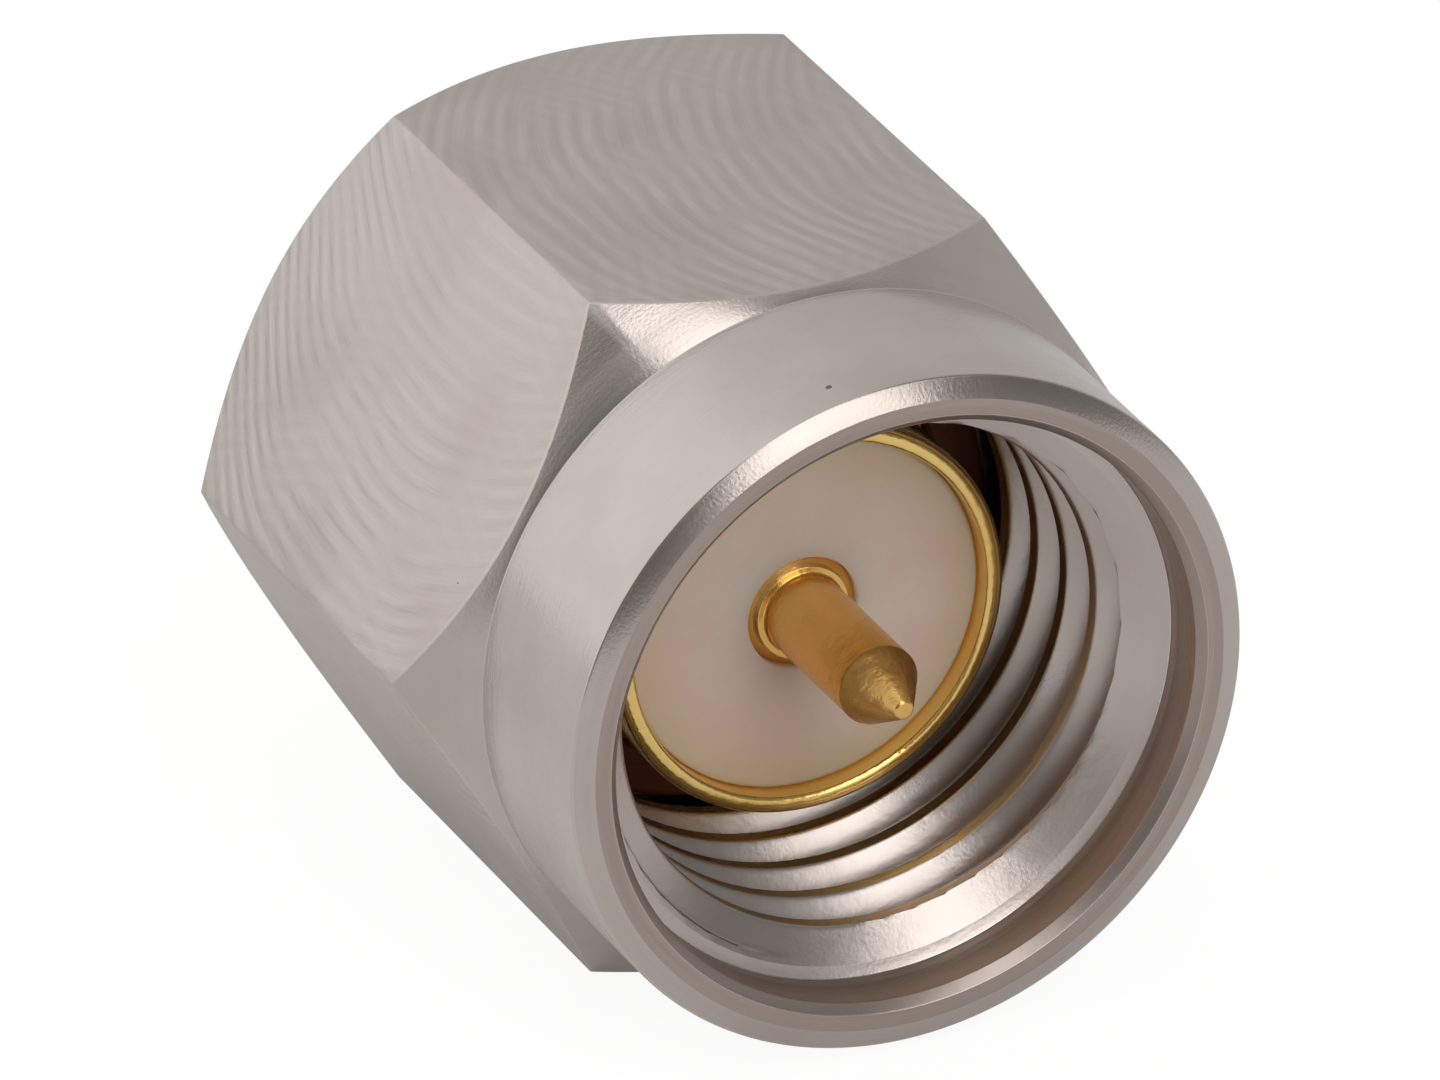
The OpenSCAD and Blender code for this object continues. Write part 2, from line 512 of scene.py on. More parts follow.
def milling_arcs_group() -> NodeTree:
    """Build the group for the arcs that a face mill leaves as it is fed across each flat.

    The piece's UV map holds, on the flats, the place in millimetres: along the axis from the
    cutter's centre line, and across. Both edges of the cutter leave arcs of its own radius.

    Returns:
        A group that puts out the height of the arcs and their broad bands, about 0 to 1.
    """
    defaults = {"Cutter mm": 5.0, "Feed mm": 0.25, "Back cut": 0.3}
    w, given, out = new_group("milling_arcs", defaults, ["Height", "Bands"])
    uv = w.add(NodeKind.UV, uv_map="milling").outputs["UV"]
    along, across, _ = w.split(uv)
    cutter = given.outputs["Cutter mm"]
    feed = given.outputs["Feed mm"]
    bow = w.math("SUBTRACT", w.times(cutter, cutter), w.times(along, along))
    bow = w.math("SQRT", w.math("MAXIMUM", bow, 0.01))
    wander = w.remap(w.noise(uv, 0.35, 1.0, 0.5), 0.0, 1.0, -1.0, 1.0)
    patches = w.remap(w.noise(uv, 0.9, 3.0, 0.6), 0.38, 0.62, 0.2, 1.0)
    bands, heights = [], []
    for sign in (-1.0, 1.0):
        path = w.math("DIVIDE", w.math("MULTIPLY_ADD", bow, sign, across), feed)
        wave = w.math("SINE", w.times(w.plus(path, wander), 2.0 * math.pi))
        stretched = w.join(w.times(path, 2.6), w.times(along, 0.5))
        scratch = w.remap(w.noise(stretched, 1.0, 3.0, 0.65), 0.25, 0.75, -1.0, 1.0)
        bands.append(w.plus(w.times(wave, 0.5), w.times(scratch, 0.5)))
        heights.append(w.plus(w.times(wave, 0.7), w.times(scratch, 0.3)))
    back = w.times(w.math("SUBTRACT", 1.0, patches), given.outputs["Back cut"])
    for label, pair in (("Height", heights), ("Bands", bands)):
        both = w.plus(w.times(pair[0], patches), w.times(pair[1], back))
        w.feed(out.inputs[label], w.math("MULTIPLY_ADD", both, 0.5, 0.5))
    return w.tree


def grain_group() -> NodeTree:
    """Build the group for fine grain, slow stains and a few tiny specks on a surface.

    Returns:
        A group that puts out grain and stains, about 0 to 1, and a mask of the specks.
    """
    defaults = {"Grain per mm": 30.0, "Stains per mm": 0.6, "Cells per mm": 0.9, "Speck mm": 0.03}
    w, given, out = new_group("grain", defaults, ["Grain", "Stains", "Specks"])
    scaled = w.add(NodeKind.VECTOR, operation="SCALE")
    w.feed(scaled.inputs[0], w.add(NodeKind.COORDS).outputs["Object"])
    scaled.inputs["Scale"].default_value = 1.0 / MM
    place = scaled.outputs[0]
    stains = w.noise(place, given.outputs["Stains per mm"], 4.0)
    w.feed(out.inputs["Grain"], w.noise(place, given.outputs["Grain per mm"], 3.0))
    w.feed(out.inputs["Stains"], stains)
    cells = w.add(NodeKind.CELLS)
    w.feed(cells.inputs["Vector"], place)
    w.feed(cells.inputs["Scale"], given.outputs["Cells per mm"])
    near = w.math("DIVIDE", cells.outputs["Distance"], given.outputs["Cells per mm"])
    size = w.times(given.outputs["Speck mm"], w.remap(stains, 0.45, 0.6, 0.0, 1.2))
    w.feed(out.inputs["Specks"], w.times(w.math("LESS_THAN", near, size), 0.8))
    return w.tree


class Effects:
    """The shared shader groups, each built once."""

    def __init__(self) -> None:
        """Build the groups."""
        self.turning = turning_lines_group()
        self.milling = milling_arcs_group()
        self.grain = grain_group()

    @staticmethod
    def place(w: Wiring, tree: NodeTree, **values: float) -> Node:
        """Put a group into a material.

        Args:
            w: The material's wiring.
            tree: The group.
            **values: Input values, with underscores for spaces.

        Returns:
            The group node.
        """
        node = w.add(NodeKind.GROUP, node_tree=tree)
        for key, value in values.items():
            node.inputs[key.replace("_", " ")].default_value = value
        return node


def emptied(owner: Material | World) -> Wiring:
    """Give a material or world an empty node tree.

    Args:
        owner: The material or world.

    Returns:
        The tree's wiring.
    """
    owner.use_nodes = True
    owner.node_tree.nodes.clear()
    return Wiring(owner.node_tree)


def start_material(name: str) -> tuple[Material, Wiring, Node]:
    """Start a material with a Principled surface.

    Args:
        name: Name of the material.

    Returns:
        The material, its wiring and its surface node.
    """
    material = bpy.data.materials.new(name)
    w = emptied(material)
    surface = w.add(NodeKind.SURFACE)
    w.feed(w.add(NodeKind.OUTPUT).inputs["Surface"], surface.outputs[0])
    return material, w, surface


def opaque(colour: Colour) -> tuple[float, float, float, float]:
    """Return a colour with full alpha."""
    return (*colour, 1.0)


@dataclass(frozen=True)
class SteelFinish:
    """Passivated steel with turned faces and milled flats.

    A mesh attribute "milled" is 1 on the flats, and "faced" holds the shares of class Faced.
    Those shares set the coarser finish of the end faces and how much darker colour is painted on
    as shade: on the end faces, in the plain bore and in the thread, and a little on the cone and
    the bevel to dim their highlights.

    Args:
        name: Name of the material.
        bright: Colour of the cleaner places.
        warm: Colour of the stained places.
        groove: Colour in the bottoms of the milled arcs.
        faced_and_shade: Darker colour painted on as shade at the front and back ends, in the
            plain bore and in the thread, and a little on the cone and the bevel to dim their
            highlights.
        speck: Colour of the few small pits.
        rough_low: Roughness of the turned faces.
        rough_high: Roughness of the milled flats.
        rough_faced: Roughness of the end faces.
        cut_mm: Depth of the cutters' marks.
        grain_mm: Depth of the grain.
    """

    name: str = "passivated_steel"
    bright: Colour = (0.68, 0.615, 0.575)
    warm: Colour = (0.57, 0.495, 0.44)
    groove: Colour = (0.53, 0.465, 0.425)
    faced_and_shade: Colour = (0.45, 0.37, 0.325)
    speck: Colour = (0.10, 0.075, 0.06)
    rough_low: float = 0.22
    rough_high: float = 0.34
    rough_faced: float = 0.38
    cut_mm: float = 0.006
    grain_mm: float = 0.0013

    def build(self, effects: Effects) -> Material:
        """Build the material.

        Args:
            effects: The shared groups.

        Returns:
            The material.
        """
        material, w, surface = start_material(self.name)
        turning = effects.place(w, effects.turning, Lines_per_mm=16.0, Waviness=9.0)
        grain = effects.place(w, effects.grain, Grain_per_mm=26.0, Stains_per_mm=0.55)
        mask = w.add(NodeKind.ATTRIBUTE, attribute_name="milled").outputs["Fac"]
        share = w.add(NodeKind.ATTRIBUTE, attribute_name="faced_and_shade").outputs["Fac"]
        faced_and_shade = w.math("MAXIMUM", share, 0.0)
        smooth = w.remap(share, -0.6, 0.0, 1.0, 0.0)
        # Share of the darker colour that is painted on as shade: full at the front end, less in
        # the bore, at the back and in the thread, and a little on the cone and the bevel, where
        # it dims their highlights.
        painted_shade_share = w.math("MAXIMUM", share, w.times(share, -0.45))
        milling = effects.place(w, effects.milling)
        facing = effects.place(w, effects.turning, Lines_per_mm=9.0, Waviness=0.8)
        faced_lines = w.times(w.times(facing.outputs["Height"], faced_and_shade), 0.9)
        fine_lines = w.times(facing.outputs["Height"], 0.15)
        collar_lines = w.times(turning.outputs["Height"], 0.55)
        turned_lines = w.plus(w.mix_value(smooth, collar_lines, fine_lines), faced_lines)
        height = w.mix_value(mask, turned_lines, w.times(milling.outputs["Height"], 1.25))
        low, high = self.rough_low, self.rough_high
        rough_turned = w.remap(turning.outputs["Bands"], 0.3, 0.7, low, low + 0.08)
        rough_turned = w.times(rough_turned, w.remap(share, -1.0, 0.0, 0.7, 1.0))
        rough_milled = w.remap(milling.outputs["Bands"], 0.3, 0.7, high - 0.05, high + 0.07)
        rough = w.mix_value(mask, rough_turned, rough_milled)
        w.feed(surface.inputs["Roughness"], w.mix_value(faced_and_shade, rough, self.rough_faced))
        stains = w.remap(grain.outputs["Stains"], 0.42, 0.7, 0.0, 0.55)
        steel = w.mix(stains, opaque(self.bright), opaque(self.warm))
        ridge = w.remap(facing.outputs["Height"], 0.35, 0.65, -0.12, 0.12)
        # The painted shade varies a little along the facing lines.
        painted_shade_mix = w.times(w.plus(ridge, 0.95), painted_shade_share)
        steel = w.mix(painted_shade_mix, steel, opaque(self.faced_and_shade))
        steel = w.mix(grain.outputs["Specks"], steel, opaque(self.speck))
        groove = w.times(w.remap(milling.outputs["Bands"], 0.25, 0.8, 0.55, 0.0), mask)
        w.feed(surface.inputs["Base Color"], w.mix(groove, steel, opaque(self.groove)))
        surface.inputs["Metallic"].default_value = 1.0
        cut = w.bump(height, self.cut_mm)
        w.feed(surface.inputs["Normal"], w.bump(grain.outputs["Grain"], self.grain_mm, cut))
        return material


@dataclass(frozen=True)
class GoldFinish:
    """Gold plating over turned metal.

    Args:
        name: Name of the material.
        bright: Colour of the clean plating.
        deep: Colour of the thicker, darker places.
        rough: Roughness.
        lines: Turned lines for each millimetre.
        cut_mm: Depth of those lines.
        uneven_mm: Depth of the plating's unevenness.
    """

    name: str
    bright: Colour = (1.0, 0.73, 0.27)
    deep: Colour = (1.0, 0.60, 0.16)
    rough: float = 0.14
    lines: float = 18.0
    cut_mm: float = 0.002
    uneven_mm: float = 0.008

    def build(self, effects: Effects) -> Material:
        """Build the material.

        Args:
            effects: The shared groups.

        Returns:
            The material.
        """
        material, w, surface = start_material(self.name)
        turning = effects.place(w, effects.turning, Lines_per_mm=self.lines, Waviness=7.0)
        grain = effects.place(w, effects.grain, Grain_per_mm=7.0, Stains_per_mm=0.9)
        shade = w.remap(grain.outputs["Stains"], 0.3, 0.75, 0.1, 0.6)
        w.feed(surface.inputs["Base Color"], w.mix(shade, opaque(self.bright), opaque(self.deep)))
        rough = w.remap(turning.outputs["Bands"], 0.3, 0.7, self.rough, self.rough + 0.1)
        w.feed(surface.inputs["Roughness"], rough)
        surface.inputs["Metallic"].default_value = 1.0
        cut = w.bump(turning.outputs["Height"], self.cut_mm)
        w.feed(surface.inputs["Normal"], w.bump(grain.outputs["Grain"], self.uneven_mm, cut))
        return material


@dataclass(frozen=True)
class PolymerFinish:
    """Translucent fluoropolymer or rubber.

    Args:
        name: Name of the material.
        pale: Colour of most of the surface.
        tinted: Colour of its uneven places.
        rough: Roughness.
        depth_mm: Distance that light travels inside, 0 for an opaque one.
        speck_mm: Radius of the few tiny dark specks, 0 for none.
        rim: Colour of a painted glow near the bead's edge, standing in for light from the gold
            sleeve.
        painted_glow_from: Radius in millimetres at which that painted glow starts.
        painted_glow_to: Radius at which it is full.
        dark: Colour of the specks.
        grain_mm: Depth of the lines and the grain.
    """

    name: str
    pale: Colour
    tinted: Colour
    rough: float = 0.45
    depth_mm: float = 0.0
    speck_mm: float = 0.0
    rim: Colour = (0.95, 0.62, 0.36)
    painted_glow_from: float = 1.2
    painted_glow_to: float = 2.3
    dark: Colour = (0.12, 0.07, 0.05)
    grain_mm: float = 0.003

    def build(self, effects: Effects) -> Material:
        """Build the material.

        Args:
            effects: The shared groups.

        Returns:
            The material.
        """
        material, w, surface = start_material(self.name)
        turning = effects.place(w, effects.turning, Lines_per_mm=9.0, Waviness=0.6)
        grain = effects.place(w, effects.grain, Grain_per_mm=14.0, Stains_per_mm=0.8)
        shade = w.remap(grain.outputs["Stains"], 0.35, 0.7, 0.0, 1.0)
        colour = w.mix(shade, opaque(self.pale), opaque(self.tinted))
        if self.depth_mm > 0.0:
            # Painted glow: the colour turns towards the gold sleeve's colour near the edge, in
            # place of light from the sleeve.
            glow = w.remap(turning.outputs["Radius"], self.painted_glow_from, self.painted_glow_to, 0.0, 0.75)
            colour = w.mix(glow, colour, opaque(self.rim))
        if self.speck_mm > 0.0:
            colour = w.mix(grain.outputs["Specks"], colour, opaque(self.dark))
            grain.inputs["Speck mm"].default_value = self.speck_mm
        w.feed(surface.inputs["Base Color"], colour)
        rough = w.remap(grain.outputs["Grain"], 0.3, 0.7, self.rough, self.rough + 0.1)
        w.feed(surface.inputs["Roughness"], rough)
        if self.depth_mm > 0.0:
            surface.inputs["Subsurface Weight"].default_value = 1.0
            surface.inputs["Subsurface Radius"].default_value = (1.0, 0.75, 0.6)
            surface.inputs["Subsurface Scale"].default_value = self.depth_mm * MM
        height = w.plus(turning.outputs["Height"], grain.outputs["Grain"])
        w.feed(surface.inputs["Normal"], w.bump(height, self.grain_mm))
        return material


# ---------------------------------------------------------------------------------------------
# The plug's pieces
# ---------------------------------------------------------------------------------------------


def station_span(node: str) -> tuple[float, float]:
    """Return the highest and lowest station of a CAD node, in millimetres."""
    low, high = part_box(node)
    return -low.y / MM, -high.y / MM


def outer_radius(node: str) -> float:
    """Return half of a CAD node's height, in millimetres."""
    low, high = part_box(node)
    return (high.z - low.z) / 2 / MM


def add_piece(piece: Object, node: str, body: str, material: Material) -> None:
    """Dress a piece and tell the frame what it stands for.

    Args:
        piece: The finished object.
        node: The CAD node that it replaces.
        body: The body that it rides on.
        material: Its material.
    """
    piece.data.materials.append(material)
    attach(piece, body)
    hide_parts(node)
    LOG.info("%s: %d faces", piece.name, len(piece.data.polygons))


@dataclass
class Thread:
    """Internal 60 degree thread, cut as one right-handed helix.

    Args:
        minor_r: Radius of the crests.
        major_r: Radius of the roots.
        pitch: Advance for each turn.
        rows: Rows of faces for each pitch.
        crest_depth: Depth of the middle of one crest behind the nut's front face, on the +X side.
        soft: Share of the pitch over which each edge is rounded.
    """

    minor_r: float = 2.86
    major_r: float = 3.175
    pitch: float = 25.4 / 36
    rows: int = 48
    crest_depth: float = 1.488
    soft: float = 0.022

    def sharp_radius(self, phase: float) -> float:
        """Return the thread's radius at a place along the pitch, a whole number on a crest."""
        from_crest = abs((phase + 0.5) % 1.0 - 0.5)
        share = (from_crest - 0.125) / 0.25
        return self.minor_r + (self.major_r - self.minor_r) * min(max(share, 0.0), 1.0)

    def radius(self, phase: float) -> float:
        """Return the thread's radius with its edges a little rounded."""
        return sum(self.sharp_radius(phase + shift) for shift in (-self.soft, 0.0, self.soft)) / 3


class FinishAndShade(Enum):
    """Share of an end face's coarser finish and of the darker colour painted on it as shade.
    Below 0 where a face is smoother than the collar, which still takes a little of that colour to
    dim its highlight.
    """

    FRONT = 1.0
    PLAIN_BORE = 0.8
    BACK = 0.5
    THREAD = 0.25
    PLAIN = 0.0
    CONE = -0.45
    BEVEL = -0.8


@dataclass
class CouplingNut:
    """Hexagonal nut: turned collar, coned hexagon, plain bore, lead-in, thread, relief, bearing.

    Lengths run back from the front face and groove stations from the reference plane.
    """

    collar_r: float = 3.91
    collar_l: float = 2.26
    cone_angle: float = math.radians(43.0)
    rim_bevel_w: float = 0.25
    rim_bevel_l: float = 0.09
    counter_r: float = 3.38
    counter_l: float = 0.66
    chamfer: float = 0.1
    lead_r: float = 3.24
    lead_angle: float = math.radians(64.0)
    rake: float = 0.04
    plain_lead_l: float = 0.025
    thread_end: float = 4.2
    relief_r: float = 3.2
    relief_l: float = 0.75
    bearing_r: float = 2.9
    groove_r: float = 3.25
    groove_front: float = -4.90
    groove_back: float = -5.55
    segments: int = 240
    cutter_line: float = 2.5
    broken_edge: float = 0.022
    slack: float = 0.02
    thread: Thread = field(default_factory=Thread)

    def __post_init__(self) -> None:
        """Take the nut's ends and its flats from the CAD node."""
        self.front, self.back = station_span("coupling_nut")
        self.half_flats = outer_radius("coupling_nut")
        self.corner_r = self.half_flats / math.cos(HEX_TURN / 2)
        self.slope = math.tan(self.cone_angle)
        self.counter_end = self.front - self.counter_l
        self.lead_start = self.counter_end - self.rake
        self.thread_stop = self.front - self.thread_end
        self.front_ring = self.on_helix_grid(self.lead_start - self.plain_lead_l)
        self.back_ring = self.on_helix_grid(self.thread_stop - self.relief_l / 2)

    def on_helix_grid(self, station: float) -> float:
        """Return the nearest station that the helix's points can take."""
        grid = self.thread.pitch / self.segments
        crest = self.front - self.thread.crest_depth
        return crest + round((station - crest) / grid) * grid

    def hex_radius(self, angle: float) -> float:
        """Return the hexagon's radius at an angle from a corner."""
        return self.half_flats / math.cos((angle % HEX_TURN) - HEX_TURN / 2)

    def lead_radius(self, station: float) -> float:
        """Return the radius of the lead-in cone at a station."""
        return self.lead_r - max(self.lead_start - station, 0.0) * math.tan(self.lead_angle)

    def hollow_radius(self, phase: float, station: float) -> float:
        """Give the radius of the threaded part of the bore.

        Args:
            phase: Place along the thread's pitch.
            station: Station in millimetres.

        Returns:
            The radius, where the lead-in and the run-out widen the thread.
        """
        run_out = self.relief_r - max(station - self.thread_stop, 0.0)
        return max(self.thread.radius(phase), self.lead_radius(station), run_out)

    def shell_corners(self) -> list[Corner]:
        """Give the nut's open half section, from the thread's front end round to its back end."""
        rise = self.corner_r - self.collar_r
        cone_start = self.front - self.collar_l
        relief_end = self.thread_stop - self.relief_l
        return [
            Corner(self.lead_radius(self.front_ring), self.front_ring),
            Corner(self.lead_r, self.lead_start, 0.03),
            Corner(self.counter_r, self.counter_end, 0.02),
            Corner(self.counter_r, self.front - self.chamfer, 0.02),
            Corner(self.counter_r + self.chamfer, self.front, 0.04),
            Corner(self.collar_r - self.rim_bevel_w, self.front, 0.05),
            Corner(self.collar_r, self.front - self.rim_bevel_l, 0.04),
            Corner(self.collar_r, cone_start, 0.03),
            Corner(self.corner_r, cone_start - rise / self.slope),
            Corner(self.corner_r, self.back + rise / self.slope),
            Corner(self.collar_r, self.back, 0.03),
            Corner(self.bearing_r + self.chamfer, self.back),
            Corner(self.bearing_r, self.back + self.chamfer),
            Corner(self.bearing_r, self.groove_back),
            Corner(self.groove_r, self.groove_back),
            Corner(self.groove_r, self.groove_front),
            Corner(self.bearing_r, self.groove_front),
            Corner(self.bearing_r, relief_end, 0.03),
            Corner(self.relief_r, relief_end),
            Corner(self.relief_r, self.back_ring),
        ]

    def cut_hexagon(self, bm: BMesh) -> None:
        """Pull the two rings at the hexagon's corners in to its flats, along the cones.

        Args:
            bm: The spun shell.
        """
        front_cone = self.front - self.collar_l
        for vert in bm.verts:
            radius = math.hypot(vert.co.x, vert.co.z)
            if radius < self.corner_r - self.slack:
                continue
            flat_r = self.hex_radius(math.atan2(vert.co.z, vert.co.x))
            run = (flat_r - self.collar_r) / self.slope
            at_front = -vert.co.y > (self.front + self.back) / 2
            station = front_cone - run if at_front else self.back + run
            vert.co.x *= flat_r / radius
            vert.co.z *= flat_r / radius
            vert.co.y = -station

    def break_edges(self, bm: BMesh) -> None:
        """Bevel the hexagon's corners and its edges with the cones.

        Args:
            bm: The shell with its hexagon cut.
        """
        bm.normal_update()
        sharp = [
            edge
            for edge in bm.edges
            if edge.is_manifold
            and edge.calc_face_angle(0.0) > math.radians(20.0)
            and min(math.hypot(v.co.x, v.co.z) for v in edge.verts) > self.half_flats - self.slack
        ]
        bmesh.ops.bevel(
            bm,
            geom=sharp,
            offset=self.broken_edge,
            offset_type="OFFSET",
            segments=2,
            profile=0.5,
            affect="EDGES",
            clamp_overlap=True,
            material=-1,
        )

    def add_thread(self, bm: BMesh) -> None:
        """Sweep the threaded bore as a helix and join it to the shell's two open rings.

        The helix runs past both rings, and what lies past them is drawn back onto them.

        Args:
            bm: The shell, still open at both ends of the thread.
        """
        pitch = self.thread.pitch
        row = pitch / self.thread.rows
        crest = self.front - self.thread.crest_depth
        first = crest + math.ceil((self.front_ring - crest) / row) * row
        count = math.ceil((first + pitch - self.back_ring) / row)
        helix = bmesh.new()
        wire(helix, [Vector((1.0, first - i * row)) for i in range(count + 1)], False)
        spin_about_axis(helix, self.segments, advance=-pitch)
        for vert in helix.verts:
            turn = math.atan2(vert.co.z, vert.co.x) / (2 * math.pi)
            station = min(max(-vert.co.y, self.back_ring), self.front_ring)
            radius = self.hollow_radius((crest - station) / pitch + turn, station)
            vert.co = Vector((vert.co.x * radius, -station, vert.co.z * radius))
        bmesh.ops.remove_doubles(helix, verts=helix.verts[:], dist=1e-4)
        mesh = bpy.data.meshes.new("helix")
        helix.to_mesh(mesh)
        helix.free()
        bm.from_mesh(mesh)
        bpy.data.meshes.remove(mesh)
        bmesh.ops.remove_doubles(bm, verts=bm.verts[:], dist=1e-4)

    def map_flats(self, bm: BMesh) -> None:
        """Mark the milled flats and lay their UV map along and across the cutter's feed.

        Args:
            bm: The closed nut.
        """
        uv = bm.loops.layers.uv.new("milling")
        mask = bm.faces.layers.float.new("milled")
        faced_and_shade = bm.faces.layers.float.new("faced_and_shade")
        bm.normal_update()
        for face in bm.faces:
            middle = face.calc_center_median()
            axial = abs(face.normal.y)
            radius = math.hypot(middle.x, middle.z)
            face[faced_and_shade] = self.finish_and_shade_share(radius, -middle.y, axial)
            if axial > 0.05 or radius < self.half_flats - self.slack:
                continue
            index = int((math.atan2(middle.z, middle.x) / HEX_TURN) % 6)
            turn = HEX_TURN * (index + 0.5)
            across = Vector((-math.sin(turn), 0.0, math.cos(turn)))
            face[mask] = 1.0
            for loop in face.loops:
                co = loop.vert.co
                loop[uv].uv = (co.y - self.cutter_line, co.dot(across) + 3.7 * index)

    def finish_and_shade_share(self, radius: float, station: float, axial: float) -> float:
        """Tell a face's kind from its place and slope, which sets its finish and the painted
        shade in its colour.

        Along the axis, a normal has 0.68 of its length on the cones, 0.94 on the rim's bevel and
        1 on an end face.

        Args:
            radius: Distance of the face from the axis.
            station: Its station.
            axial: Share of its normal along the axis.

        Returns:
            The value of its kind in Faced.
        """
        if radius < self.counter_r - self.slack and station > self.thread_stop:
            return FinishAndShade.THREAD.value
        if axial < 0.6:
            in_bore = abs(radius - self.counter_r) < self.slack and station > self.counter_end
            return (FinishAndShade.PLAIN_BORE if in_bore else FinishAndShade.PLAIN).value
        if radius < self.counter_r:
            return FinishAndShade.PLAIN.value
        if axial < 0.75 and radius > self.collar_r - self.slack:
            return FinishAndShade.CONE.value
        if station < self.back + self.slack:
            return FinishAndShade.BACK.value
        if 0.9 < axial < 0.97:
            return FinishAndShade.BEVEL.value
        at_rim = axial > 0.97 or radius < self.counter_r + self.chamfer
        return (FinishAndShade.FRONT if at_rim else FinishAndShade.PLAIN).value

    def build(self) -> Object:
        """Build the nut.

        Returns:
            The finished object.
        """
        bm = bmesh.new()
        wire(bm, outline(self.shell_corners(), False), False)
        spin_about_axis(bm, self.segments)
        self.cut_hexagon(bm)
        self.break_edges(bm)
        self.add_thread(bm)
        bmesh.ops.recalc_face_normals(bm, faces=bm.faces[:])
        self.map_flats(bm)
        return to_object(bm, "coupling_nut_finished")


@dataclass
class PlugBody:
    """Gold-plated body with its outer contact, shoulder, snap ring groove and cable tail."""

    sleeve_r: float = 2.28
    bore_r: float = 2.065
    sleeve_l: float = 2.0
    step_r: float = 2.45
    shoulder: float = -2.45
    barrel_r: float = 2.83
    groove_r: float = 2.3
    groove_front: float = -4.95
    groove_back: float = -5.55
    barrel_end: float = -5.95
    tail_r: float = 2.4
    land_front: float = -4.6
    land_back: float = -4.9
    land_r: float = 1.5
    cable_r: float = 1.83

    def build(self) -> Object:
        """Build the body as one turned solid.

        Returns:
            The finished object.
        """
        front, back = station_span("body")
        return turned("plug_body_finished", [
            Corner(self.bore_r, front, 0.06),
            Corner(self.sleeve_r, front, 0.11),
            Corner(self.sleeve_r, -self.sleeve_l),
            Corner(self.step_r, -self.sleeve_l, 0.03),
            Corner(self.step_r, self.shoulder),
            Corner(self.barrel_r, self.shoulder, 0.08),
            Corner(self.barrel_r, self.groove_front, 0.02),
            Corner(self.groove_r, self.groove_front),
            Corner(self.groove_r, self.groove_back),
            Corner(self.barrel_r, self.groove_back, 0.02),
            Corner(self.barrel_r, self.barrel_end, 0.08),
            Corner(self.tail_r, self.barrel_end, 0.05),
            Corner(self.tail_r, back, 0.1),
            Corner(self.cable_r + 0.1, back, 0.03),
            Corner(self.cable_r, back + 0.1, 0.03),
            Corner(self.cable_r, self.land_back),
            Corner(self.land_r, self.land_back, 0.02),
            Corner(self.land_r, self.land_front, 0.02),
            Corner(self.bore_r, self.land_front),
        ])


@dataclass
class CentreContact:
    """Captive contact: pointed pin, shoulder, collar and slotted socket."""

    pin_r: float = 0.457
    pin_reach: float = 1.6
    tip_r: float = 0.1
    core_r: float = 0.635
    shoulder: float = -0.21
    collet_r: float = 0.9
    collet_front: float = -2.6
    collet_back: float = -3.0
    socket_r: float = 0.47
    socket_depth: float = 1.9
    slot_w: float = 0.2
    slot_l: float = 1.5
    overshoot: float = 1.0

    def corners(self) -> list[Corner]:
        """Give the contact's half section, from its point round to the socket's floor."""
        tip, back = station_span("centre_contact")
        floor = back + self.socket_depth
        return [
            Corner(0.0, tip),
            Corner(self.tip_r, tip, 0.05),
            Corner(self.pin_r, self.pin_reach, 0.03),
            Corner(self.pin_r, self.shoulder, 0.03),
            Corner(self.core_r - 0.1, self.shoulder, 0.02),
            Corner(self.core_r, self.shoulder - 0.1, 0.02),
            Corner(self.core_r, self.collet_front),
            Corner(self.collet_r, self.collet_front, 0.03),
            Corner(self.collet_r, self.collet_back, 0.03),
            Corner(self.core_r, self.collet_back),
            Corner(self.core_r, back, 0.03),
            Corner(self.socket_r, back, 0.03),
            Corner(self.socket_r, floor),
            Corner(0.0, floor + self.socket_r / 2),
        ]

    def build(self) -> Object:
        """Build the contact and saw its slot.

        Returns:
            The finished object.
        """
        piece = turned("centre_contact_finished", self.corners(), closed=False, segments=96)
        back = station_span("centre_contact")[1]
        blade_bm = bmesh.new()
        bmesh.ops.create_cube(blade_bm, size=1.0)
        length = self.slot_l + self.overshoot
        size = Vector((4 * self.core_r, length, self.slot_w)) * MM
        bmesh.ops.scale(blade_bm, vec=size, verts=blade_bm.verts[:])
        place = (0.0, (-back - self.slot_l + length / 2) * MM, 0.0)
        bmesh.ops.translate(blade_bm, vec=place, verts=blade_bm.verts[:])
        blade = link_mesh(blade_bm, "slot_blade")
        cut = piece.modifiers.new("slot", "BOOLEAN")
        cut.operation = "DIFFERENCE"
        cut.solver = "EXACT"
        cut.object = blade
        depsgraph = bpy.context.evaluated_depsgraph_get()
        sawn = bpy.data.meshes.new_from_object(piece.evaluated_get(depsgraph))
        piece.modifiers.clear()
        piece.data = sawn
        bpy.data.objects.remove(blade)
        return piece


